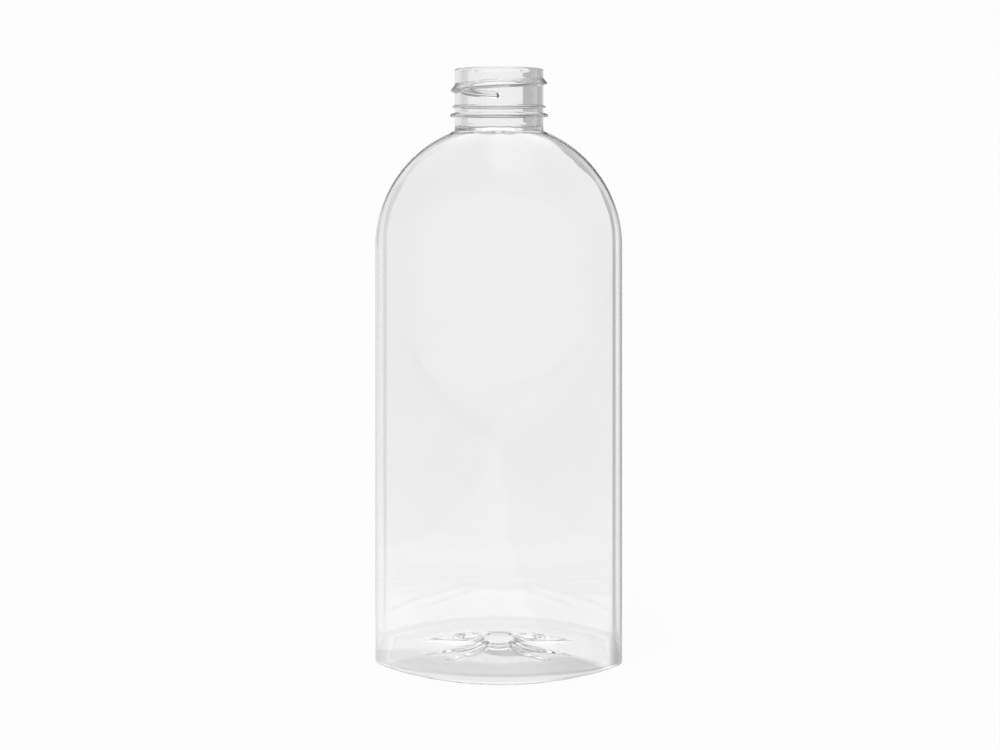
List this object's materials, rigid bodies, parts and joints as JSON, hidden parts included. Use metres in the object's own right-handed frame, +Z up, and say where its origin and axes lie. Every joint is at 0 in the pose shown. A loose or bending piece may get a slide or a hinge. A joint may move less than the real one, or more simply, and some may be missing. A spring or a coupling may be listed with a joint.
{
  "type": "plastic bottle",
  "caption": "Clear plastic bottle with a flattened lens-shaped body, a half-round arch shoulder, a round screw neck without a cap and a ribbed push-up base.",
  "frame": {"origin": "centre of the base, on the surface that the bottle stands on", "axes": "+Z up along the neck, +X across the width of the bowed faces, +Y through the flat of the body, away from the picture's camera"},
  "size_m": [0.068, 0.041, 0.164],
  "materials": {
    "clear_pet": "clear, glossy stretch-blown PET, faintly grey at its edges"
  },
  "bodies": {
    "root": {"neck_finish": "clear_pet", "shoulder": "clear_pet", "body_wall": "clear_pet", "base": "clear_pet"}
  },
  "joints": []
}
